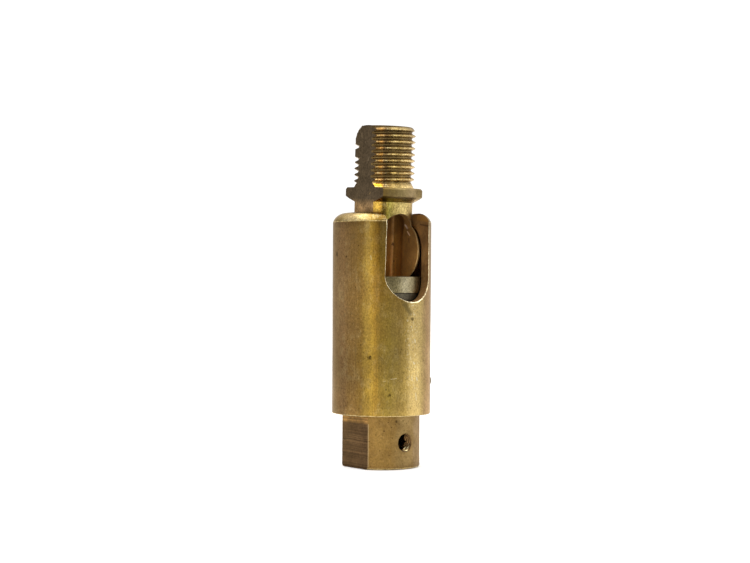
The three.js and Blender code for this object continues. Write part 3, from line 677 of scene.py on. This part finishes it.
# ------------------------------------------------------------------ sleeve
def slot_tool(offset, mats, wall, lip, chamfer, surface):
    """The slot's cutter: straight sides through the wall, opening out at the barrel's surface into a fine chamfer."""
    steps = 40
    outline = []
    zc = SLOT_BOTTOM + SLOT_HALF
    for i in range(steps + 1):
        a = math.pi + math.pi * i / steps
        outline.append((math.cos(a), math.sin(a), SLOT_HALF * math.cos(a), zc + SLOT_HALF * math.sin(a)))
    for i in range(1, 31):
        outline.append((1, 0, SLOT_HALF, zc + (SLEEVE_TOP + 2 - zc) * i / 30))
    for i in range(30, 0, -1):
        outline.append((-1, 0, -SLOT_HALF, zc + (SLEEVE_TOP + 2 - zc) * i / 30))
    rings = []
    for kind in range(4):
        ring = []
        for ny, nz, y, z in outline:
            if y < 0:  # the cutter wandered a little on this side
                y -= 0.27 * (-y / SLOT_HALF) * min(1.0, max(0.0, (39.6 - z) / 9.0))
            xs = math.sqrt(surface**2 - y * y)
            c = chamfer * (1.0 + 0.6 * noise.noise(Vector((y * 1.3, z * 2.1, 3.7))))
            if y > 0:  # the far side's edge is crisper, the near side's is beaten over toward the top
                c *= 1.0 - 0.5 * min(1.0, max(0.0, (z - SLOT_BOTTOM) / 3.0))
            elif -0.99 <= ny < -0.3:
                c *= 0.45
            elif ny < -0.99:
                c *= 0.36 + 0.30 * min(1.0, max(0.0, (z - 34.5) / 3.0)) * (1.0 + 0.9 * noise.noise(Vector((2.3, 1.1, z * 3.1))))
            if kind == 0:
                ring.append((0.0, y, z))
            elif kind == 1:
                ring.append((xs - c, y, z))
            else:
                grow = c + 0.5
                yy, zz = y + ny * grow, z + nz * grow
                near = min(1.0, max(0.0, (-ny - 0.6) / 0.35))
                yy, xx = yy - 0.4 * near, xs + 0.5 - near * (0.5 + c - 0.24)
                ring.append((xx if kind == 2 else surface + 2, yy, zz))
        rings.append(ring)
    return loft("slot_tool", rings, mats, [wall, lip, lip], wall)


def sleeve():
    mats = [barrel, shoulder, cut_brass, burr_and_glint, bore_brass, edge_brass]
    prof = [(SLEEVE_BORE_R, SLEEVE_BOTTOM, 4), (SLEEVE_R - 0.12, SLEEVE_BOTTOM, 5), (SLEEVE_R - 0.03, SLEEVE_BOTTOM + 0.04, 5), (SLEEVE_R, SLEEVE_BOTTOM + 0.13, 0)]
    zs = [SLEEVE_BOTTOM + 0.16 + (SHOULDER_Z - 0.04 - SLEEVE_BOTTOM - 0.16) * i / 26 for i in range(1, 27)]
    prof += [(SLEEVE_R, z, 0) for z in zs[:-1]] + [(SLEEVE_R, SHOULDER_Z - 0.10, 5)]
    k = 0.22
    for i in range(15):
        a = (k + (1 - k) * i / 14) * math.pi / 2
        r = SHOULDER_R + (SLEEVE_R - 0.02 - SHOULDER_R) * math.cos(a) / math.cos(k * math.pi / 2)
        z = SHOULDER_Z + (SLEEVE_TOP - SHOULDER_Z) * (math.sin(a) - math.sin(k * math.pi / 2)) / (1 - math.sin(k * math.pi / 2))
        prof.append((r, z, 1))
    prof += [(MOUTH_R + 0.22, SLEEVE_TOP, 5), (MOUTH_R + 0.06, SLEEVE_TOP - 0.06, 5), (MOUTH_R, SLEEVE_TOP - 0.22, 2)]
    prof += [(r, z, 2) for r, z, _ in arc(SLEEVE_BORE_R, BALL_Z, math.acos(MOUTH_R / SLEEVE_BORE_R), 0, 20)]
    prof += [(SLEEVE_BORE_R, z, 4) for z in (34, 32, 30, 27, 22, 18, 14, 11)]

    def shift(r, z, a):
        # a worn, slightly ragged bottom edge and a faint unevenness of the barrel
        c, s = math.cos(a), math.sin(a)
        dr = dz = 0.0
        if z < SLEEVE_BOTTOM + 0.2 and r > 7:
            e = noise.noise(Vector((c * 5.0, s * 5.0, 1.3))) + 0.5 * noise.noise(Vector((c * 14.0, s * 14.0, 4.1)))
            dz = 0.055 * e
            dr = -0.035 * abs(e)
        elif r > 7.9:
            dr = 0.006 * (noise.noise(Vector((c * 2.0, s * 2.0, z * 0.25))) - 0.5)
        return dr, dz

    o = lathe("sleeve", prof, 288, mats, shift)
    o = cut(o, slot_tool(0, mats, 2, 3, 0.165, SLEEVE_R))
    # pin hole
    n = 48
    ring = lambda x, r: [(x, r * math.cos(2 * math.pi * i / n), PIN_Z + r * math.sin(2 * math.pi * i / n)) for i in range(n)]
    tool = loft("pin_tool", [ring(5.0, PIN_HOLE_R), ring(SLEEVE_R - 0.05, PIN_HOLE_R), ring(SLEEVE_R + 0.5, PIN_HOLE_R + 0.25)], mats, [4, 3], 4)
    transform(tool, Matrix.Rotation(PIN_ANGLE, 4, "Z"))
    o = cut(o, tool)
    # small pits in the barrel: shallow scoops
    bm = bmesh.new()
    spots = [(-53.5, 17.9, 0.20), (-53.0, 18.25, 0.12), (-3.0, 24.0, 0.18), (-62.0, 20.1, 0.09), (-82.5, 34.4, 0.12), (-28.5, 11.6, 0.14),
             (-92.0, 35.0, 0.16), (-18.0, 33.5, 0.08), (-70.0, 27.5, 0.08), (25.0, 20.0, 0.13), (70, 30, 0.16), (110, 15, 0.2), (150, 26, 0.14),
             (-150, 33, 0.18), (-170, 14, 0.15), (-120, 21, 0.12), (95, 36.5, 0.12), (-45, 13.4, 0.07)]
    for deg, z, r in spots:
        a = math.radians(deg)
        geom = bmesh.ops.create_icosphere(bm, subdivisions=2, radius=r)
        sq = Matrix.Translation(((SLEEVE_R + r * 0.45) * math.cos(a), (SLEEVE_R + r * 0.45) * math.sin(a), z)) @ Matrix.Rotation(a, 4, "Z") @ Matrix.Diagonal((0.75, 1.0, 1.25, 1))
        bmesh.ops.transform(bm, matrix=sq, verts=geom["verts"])
    me = bpy.data.meshes.new("pits")
    bm.to_mesh(me)
    bm.free()
    for m in mats:
        me.materials.append(m)
    me.polygons.foreach_set("material_index", [0] * len(me.polygons))
    pits = bpy.data.objects.new("pits", me)
    bpy.context.scene.collection.objects.link(pits)
    o = cut(o, pits)
    return done(o, "sleeve_barrel", "sleeve", ["swivel_sleeve"])


# ------------------------------------------------------------------ ball stem
def steps(x, points):
    """A smooth curve through (x, y) points."""
    if x <= points[0][0]:
        return points[0][1]
    for (x0, y0), (x1, y1) in zip(points, points[1:]):
        if x <= x1:
            t = (x - x0) / (x1 - x0)
            t = t * t * (3 - 2 * t)
            return y0 + (y1 - y0) * t
    return points[-1][1]


def pressed(a, z, r):
    """The thread beside the flat, where crests are squeezed together: the end turns into one rounded ear, and two crests lower down into one."""
    if z < 11.2:  # the run-out: a smooth flare down to the collar
        flare = steps(z, [(10.05, 4.93), (10.35, 4.74), (10.95, 4.44)])
        keep = min(1.0, max(0.0, (z - 10.72) / 0.3))
        return flare + (max(r, flare) - flare) * keep if z < 11.02 else r
    deg = math.degrees(a)
    near = steps(deg, [(200, 0), (221, 1), (246, 1), (262, 0)])
    if near <= 0:
        return r
    if z > 16.8:
        edge = steps(z, [(16.9, 4.30), (17.25, 4.84), (17.9, 4.86), (18.65, 4.70), (19.2, 4.50), (19.5, 4.33), (19.8, 4.10), (20.2, 3.8)])
        return r + (edge - r) * near if z > 17.2 or edge > r else r
    fill = 4.87 - 2.6 * max(0.0, abs(z - 15.63) - 0.40) ** 1.3
    return r + max(0.0, fill - r) * near


def stem():
    mats = [thread_brass, collar_brass, neck_brass, stem_flat, ball_brass, channel_brass, channel_lip, stem_bore]
    SEG = 224
    # neck, collar, and the core under the thread
    core = lathe("core", [
        (0, 1.0, 2), (NECK_R, 1.0, 2), (NECK_R, 4.0, 2), (NECK_R, 6.0, 2), (NECK_R, COLLAR_LOW - 0.12, 2), (NECK_R + 0.05, COLLAR_LOW, 2),
        (COLLAR_R - 0.55, COLLAR_RIM - 0.34, 1), (COLLAR_R - 0.06, COLLAR_RIM - 0.03, 1), (COLLAR_R, COLLAR_RIM + 0.05, 1),
        (COLLAR_R, COLLAR_TOP - 0.30, 1), (COLLAR_R - 0.05, COLLAR_TOP - 0.24, 1), (COLLAR_R - 0.26, COLLAR_TOP - 0.03, 1), (COLLAR_R - 0.32, COLLAR_TOP, 1),
        (THREAD_ROOT_R - 0.1, COLLAR_TOP, 0), (THREAD_ROOT_R - 0.1, COLLAR_TOP + 0.3, 0), (0, COLLAR_TOP + 0.3, 0),
    ], SEG, mats)
    bar = thread_bar("thread", THREAD_ROOT_R, THREAD_R, PITCH, COLLAR_TOP - 0.4, STEM_TOP, SEG, THREAD_PHASE, mats, 0, ding=0.16, shape=pressed)
    env = lathe("envelope", [
        (0, COLLAR_TOP - 0.4, 0), (THREAD_R + 0.3, COLLAR_TOP - 0.4, 0), (THREAD_R + 0.3, STEM_TOP - 1.02, 0), (THREAD_R - 0.10, STEM_TOP - 0.62, 0), (THREAD_ROOT_R + 0.12, STEM_TOP - 0.10, 0),
        (THREAD_ROOT_R - 0.05, STEM_TOP, 0), (0, STEM_TOP, 0),
    ], SEG, mats)
    bar = cut(bar, env, "INTERSECT")
    o = cut(core, bar, "UNION")
    # the ear at the thread's top, then the flats, each cut in one plane
    ear = lathe("ear", [(0, -0.24, 3)] + [(1.45 * math.cos(t), 0.24 * math.sin(t), 3) for t in [math.radians(-75 + 15 * i) for i in range(11)]] + [(0, 0.24, 3)], 48, mats)
    transform(ear, Matrix.Translation((0.25, -3.95, STEM_TOP - 0.17)) @ Matrix.Diagonal((1.0, 0.26, 1.0, 1)))
    o = cut(o, ear, "UNION")
    for sgn in (-1, 1):
        y0, y1 = sorted((sgn * STEM_FLAT, sgn * 9))
        o = cut(o, block("flat_tool", (-9, y0, -1), (9, y1, STEM_TOP + 1), mats, 3))
    ball = lathe("ball", [(0, -5.6, 4)] + [p for p in arc(BALL_R, 0, -math.asin(5.6 / BALL_R), math.acos(2.0 / BALL_R), 60, 4)] + [(0, BALL_R * math.sin(math.acos(2.0 / BALL_R)), 4)], SEG, mats)
    o = cut(o, ball, "UNION")
    # wire bore, broken at both ends
    bore = lathe("bore", [
        (0, -8, 7), (WIRE_R + 0.9, -8, 7), (WIRE_R + 0.9, -5.9, 7), (WIRE_R + 0.12, -5.12, 7), (WIRE_R, -4.95, 7), (WIRE_R, 0, 7), (WIRE_R, 8, 7), (WIRE_R, STEM_TOP - 0.18, 6),
        (WIRE_R + 0.3, STEM_TOP + 0.12, 6), (WIRE_R + 0.3, STEM_TOP + 1, 6), (0, STEM_TOP + 1, 7),
    ], 128, mats)
    o = cut(o, bore)
    # wire channel: straight sides and a round top, its rim broken where it meets the ball and the neck
    steps = 40
    levels = [-8, -5.6, -5.2, -4.8, -4.2, -3.4, -2.4, -1.4, -0.4, 0.8, 1.8]
    outline = [(-1, 0, -CHANNEL_HALF, z) for z in reversed(levels)] + [(1, 0, CHANNEL_HALF, z) for z in levels]
    for i in range(steps + 1):
        a = math.pi * i / steps
        outline.append((math.cos(a), math.sin(a), CHANNEL_HALF * math.cos(a), CHANNEL_ARCH + CHANNEL_HALF * math.sin(a)))

    def surface(y, z):
        if z > math.sqrt(BALL_R**2 - NECK_R**2):
            return math.sqrt(max(0.1, NECK_R**2 - y * y))
        return math.sqrt(max(0.1, BALL_R**2 - y * y - z * z))

    rings = [[], [], [], []]
    lip = 0.09
    for ny, nz, y, z in outline:
        zz = max(z, -5.6)
        xs = surface(y, zz)
        rings[0].append((0.0, y, z))
        rings[1].append((xs - lip, y, z))
        rings[2].append((xs + 0.5, y + ny * (lip + 0.5), z + nz * (lip + 0.5)))
        rings[3].append((BALL_R + 2, y + ny * (lip + 0.5), z + nz * (lip + 0.5)))
    o = cut(o, loft("channel_tool", rings, mats, [5, 6, 6], 5))
    return done(o, "ball_stem_turned", "stem", ["ball_stem"], 32.0, STEM_FRAME)


# ------------------------------------------------------------------ base plug
def plug():
    mats = [plug_brass, plug_flat, edge_brass, bore_brass, cut_brass, clamp_thread]
    SEG = 256
    low, high = PIN_Z - GROOVE_HALF, PIN_Z + GROOVE_HALF

    def shift(r, z, a):
        if z < 0.5 and r > 5.5:
            c, s = math.cos(a), math.sin(a)
            e = noise.noise(Vector((c * 4.0, s * 4.0, 9.3))) + 0.5 * noise.noise(Vector((c * 12.0, s * 12.0, 2.1)))
            return -0.03 * abs(e), 0.02 * abs(e)
        return 0.0, 0.0

    o = lathe("plug", [
        (WIRE_R, SOCKET_DEPTH, 3), (SOCKET_R, SOCKET_DEPTH, 3), (SOCKET_R, 6.0, 3), (SOCKET_R, SOCKET_MOUTH_R - SOCKET_R, 2), (SOCKET_MOUTH_R, 0, 0),
        (PLUG_R - 0.36, 0, 2), (PLUG_R - 0.10, 0.10, 2), (PLUG_R - 0.02, 0.26, 0), (PLUG_R, 0.42, 0), (PLUG_R, 2.0, 0), (PLUG_R, 4.0, 0), (PLUG_R, 6.0, 0),
        (PLUG_R, 8.6, 0), (PLUG_R, 11.0, 0), (PLUG_R, PLUG_TOP - 0.5, 0), (PLUG_R - 0.5, PLUG_TOP, 0), (WIRE_R, PLUG_TOP, 3), (WIRE_R, 14.0, 3),
    ], SEG, mats, shift)
    # internal M10 x 1 thread
    bar = thread_bar("socket", SOCKET_R - 0.02, SOCKET_MAJOR, PITCH, -0.6, SOCKET_DEPTH - 1.4, 160, 0.2, mats, 3)
    env = lathe("env", [(0, -0.6, 3), (SOCKET_MAJOR + 0.1, -0.6, 3), (SOCKET_MAJOR + 0.1, SOCKET_DEPTH - 1.9, 3), (SOCKET_R - 0.05, SOCKET_DEPTH - 1.4, 3), (0, SOCKET_DEPTH - 1.4, 3)], 160, mats)
    o = cut(o, cut(bar, env, "INTERSECT"))
    for sgn in (-1, 1):
        y0, y1 = sorted((sgn * PLUG_FLAT, sgn * 9))
        o = cut(o, block("flat_tool", (-9, y0, -1), (9, y1, PLUG_FLAT_TOP), mats, 1))
    # groove for the retaining pin, with its stop web
    ring = lathe("ring", [(GROOVE_R, low, 4), (7, low, 4), (7, high, 4), (GROOVE_R, high, 4)], SEG, mats)
    back = PIN_ANGLE + math.pi
    tri = [(0.0, 0.0)] + [(9 * math.cos(back + s * STOP_HALF), 9 * math.sin(back + s * STOP_HALF)) for s in (-1, 1)]
    wedge = loft("wedge", [[(x, y, z) for x, y in tri] for z in (low - 1, high + 1)], mats, [4], 4)
    o = cut(o, cut(ring, wedge))
    # clamp-screw hole: threaded, with a small countersink
    screw = thread_bar("m3", CLAMP_R - 0.02, CLAMP_MAJOR, 0.5, 2.4, 7.5, 72, 0.3, mats, 5)
    transform(screw, Matrix.Translation((0, 0, CLAMP_Z)) @ Matrix.Rotation(math.pi / 2, 4, "Y"))
    env = loft("env", [[(x, 2.5 * math.cos(2 * math.pi * i / 24), CLAMP_Z + 2.5 * math.sin(2 * math.pi * i / 24)) for i in range(24)] for x in (3.0, 8.0)], mats, [5], 5)
    o = cut(o, cut(screw, env, "INTERSECT"))
    n = 64
    cone = lambda x, r: [(x, r * math.cos(2 * math.pi * i / n), CLAMP_Z + r * math.sin(2 * math.pi * i / n)) for i in range(n)]
    o = cut(o, loft("sink", [cone(PLUG_R - 0.40, CLAMP_R - 0.1), cone(PLUG_R - 0.14, 1.42), cone(PLUG_R - 0.02, 1.50), cone(PLUG_R + 0.5, 1.82)], mats, [5, 0, 0], 0))
    return done(o, "base_plug_turned", "base", ["base_plug"], 32.0)


# ------------------------------------------------------------------ friction stack
def turned(name, prof, mats, body, nodes, segments=192):
    return done(lathe(name, prof, segments, mats), name, body, nodes)


def seat():
    top = math.asin((BALL_Z - SEAT_TOP) / SEAT_CUP_R)
    low = math.acos(SEAT_BORE_R / SEAT_CUP_R)
    prof = [(r, z, 0) for r, z, _ in arc(SEAT_CUP_R, BALL_Z, -top, -low, 16)]
    prof[0] = (prof[0][0] - 0.02, prof[0][1] - 0.04, 0)
    prof += [(SEAT_BORE_R, SEAT_BOTTOM + 0.1, 0), (SEAT_BORE_R + 0.1, SEAT_BOTTOM, 0), (SEAT_R - 0.05, SEAT_BOTTOM, 0), (SEAT_R, SEAT_BOTTOM + 0.05, 0),
             (SEAT_R, SEAT_BOTTOM + 1.2, 0), (SEAT_R, SEAT_TOP - 0.14, 0), (SEAT_R - 0.03, SEAT_TOP - 0.05, 0), (SEAT_R - 0.12, SEAT_TOP, 0), (prof[0][0] + 0.06, SEAT_TOP, 0)]
    return turned("ball_seat_ring", prof, [seat_steel], "sleeve", ["ball_seat"])


def ring_washer(name, inner, outer, low, high, nodes):
    c = 0.05
    prof = [(inner, low + c, 0), (inner + c, low, 0), (outer - c, low, 0), (outer, low + c, 0), (outer, high - c, 0), (outer - c, high, 0), (inner + c, high, 0), (inner, high - c, 0)]
    return turned(name, prof, [dark_steel], "sleeve", nodes)


def spring():
    z0, z1 = SPRING_BOTTOM + SPRING_WIRE_R, WASHER_BOTTOM - 0.3 - SPRING_WIRE_R
    steps, sides = SPRING_TURNS * 64, 20
    rings = []
    for i in range(steps + 1):
        t = i / steps
        a = 2 * math.pi * SPRING_TURNS * t
        s = t * t * (3 - 2 * t) * 0.35 + t * 0.65
        c = Vector((SPRING_MEAN_R * math.cos(a), SPRING_MEAN_R * math.sin(a), z0 + (z1 - z0) * s))
        n = Vector((math.cos(a), math.sin(a), 0))
        ring = []
        for k in range(sides):
            b = 2 * math.pi * k / sides
            r = SPRING_WIRE_R * 0.985
            ring.append(tuple(c + n * (r * math.cos(b)) + Vector((0, 0, r * math.sin(b)))))
        rings.append(ring)
    o = loft("spring", rings, [spring_steel], [0] * steps, 0)
    return done(o, "friction_coil", "sleeve", ["friction_spring"])


def pin():
    n = 48
    ring = lambda x, r: [(x, r * math.cos(2 * math.pi * i / n), PIN_Z + r * math.sin(2 * math.pi * i / n)) for i in range(n)]
    o = loft("pin", [ring(PIN_ROOT, PIN_R - 0.12), ring(PIN_ROOT + 0.12, PIN_R), ring(6.5, PIN_R), ring(7.2, PIN_R), ring(7.6, PIN_R)]
             + [ring(7.6 + 0.54 * math.sin(math.radians(a)), 0.04 + (PIN_R - 0.04) * math.cos(math.radians(a))) for a in (15, 30, 45, 58, 70, 80, 90)], [pin_steel], [0] * 11, 0)
    transform(o, Matrix.Rotation(PIN_ANGLE, 4, "Z"))
    return done(o, "retaining_pin_pressed", "sleeve", ["retaining_pin"])


sleeve()
stem()
plug()
seat()
ring_washer("thrust_ring", SEAT_BORE_R, WASHER_R, WASHER_BOTTOM, WASHER_TOP, ["thrust_washer"])
ring_washer("spring_ring", SEAT_BORE_R, WASHER_R, BASE_WASHER_BOTTOM, BASE_WASHER_TOP, ["spring_washer"])
spring()
pin()

# ------------------------------------------------------------------ floor
bpy.ops.mesh.primitive_plane_add(size=8.0, location=(0, 0, -0.00002))
floor = bpy.context.object
floor.name = "floor"
fm = bpy.data.materials.new("floor_white")
fm.use_nodes = True
fb = fm.node_tree.nodes["Principled BSDF"]
fb.inputs["Base Color"].default_value = (0.93, 0.93, 0.925, 1)
fb.inputs["Roughness"].default_value = 0.7
fb.inputs["Specular IOR Level"].default_value = 0.2
floor.data.materials.append(fm)

# ------------------------------------------------------------------ studio
scene = bpy.context.scene
scene.view_settings.view_transform = "Standard"
scene.view_settings.look = "None"
world = bpy.data.worlds.new("studio")
scene.world = world
world.use_nodes = True
wt = Nodes(world.node_tree)
world.node_tree.nodes.clear()
w_out = wt.new("ShaderNodeOutputWorld")
w_bg = wt.new("ShaderNodeBackground")
world.node_tree.links.new(w_bg.outputs[0], w_out.inputs[0])
direction = wt.new("ShaderNodeTexCoord").outputs["Generated"]
dxyz = wt.new("ShaderNodeSeparateXYZ", {0: direction}).outputs
# brightness round the studio, by compass direction: (degrees from +X, level)
LEVELS = [
    (-180, 0.62), (-150, 0.50), (-118, 0.50), (-98, 0.54), (-84, 0.66), (-73, 1.08), (-62, 1.95), (-53, 1.22), (-44, 0.58), (-36, 0.54), (-8, 0.47), (8, 0.38),
    (24, 1.10), (44, 2.00), (66, 1.30), (95, 1.05), (115, 1.08), (141, 1.10), (165, 1.08), (176, 0.80),
]
turn = wt.math("ADD", wt.math("DIVIDE", wt.math("ARCTAN2", dxyz[1], dxyz[0]), 2 * math.pi), 0.5)
level = wt.ramp(turn, [((d + 180) / 360, v / 2.0) for d, v in LEVELS], "EASE")
high = wt.new("ShaderNodeMapRange", {"Value": dxyz[2], "From Min": 0.30, "From Max": 0.75}, interpolation_type="SMOOTHSTEP").outputs[0]
OVERHEAD = [(-180, 1.9), (-110, 1.9), (-75, 1.7), (-45, 0.9), (0, 0.8), (60, 1.3), (120, 1.9), (179, 1.9)]
level = wt.mix(high, level, wt.ramp(turn, [((d + 180) / 360, v / 2.0) for d, v in OVERHEAD], "EASE"))
# the backdrop itself is white on every side; the levels above only light the metal
level = wt.mix(wt.new("ShaderNodeLightPath").outputs["Is Camera Ray"], level, (0.55, 0.55, 0.55))
world.node_tree.links.new(level, w_bg.inputs["Color"])
w_bg.inputs["Strength"].default_value = 2.0


def area(name, at, look, size, power, colour=(1, 1, 1)):
    d = bpy.data.lights.new(name, "AREA")
    d.shape = "RECTANGLE"
    d.size, d.size_y = size
    d.energy = power
    d.color = colour
    o = bpy.data.objects.new(name, d)
    scene.collection.objects.link(o)
    o.location = at
    o.rotation_mode = "QUATERNION"
    o.rotation_quaternion = (Vector(look) - Vector(at)).to_track_quat("-Z", "Y")
    return o


area("top_softbox", (0.05, -0.05, 0.85), (0, 0, 0), (1.1, 1.1), 9.0)
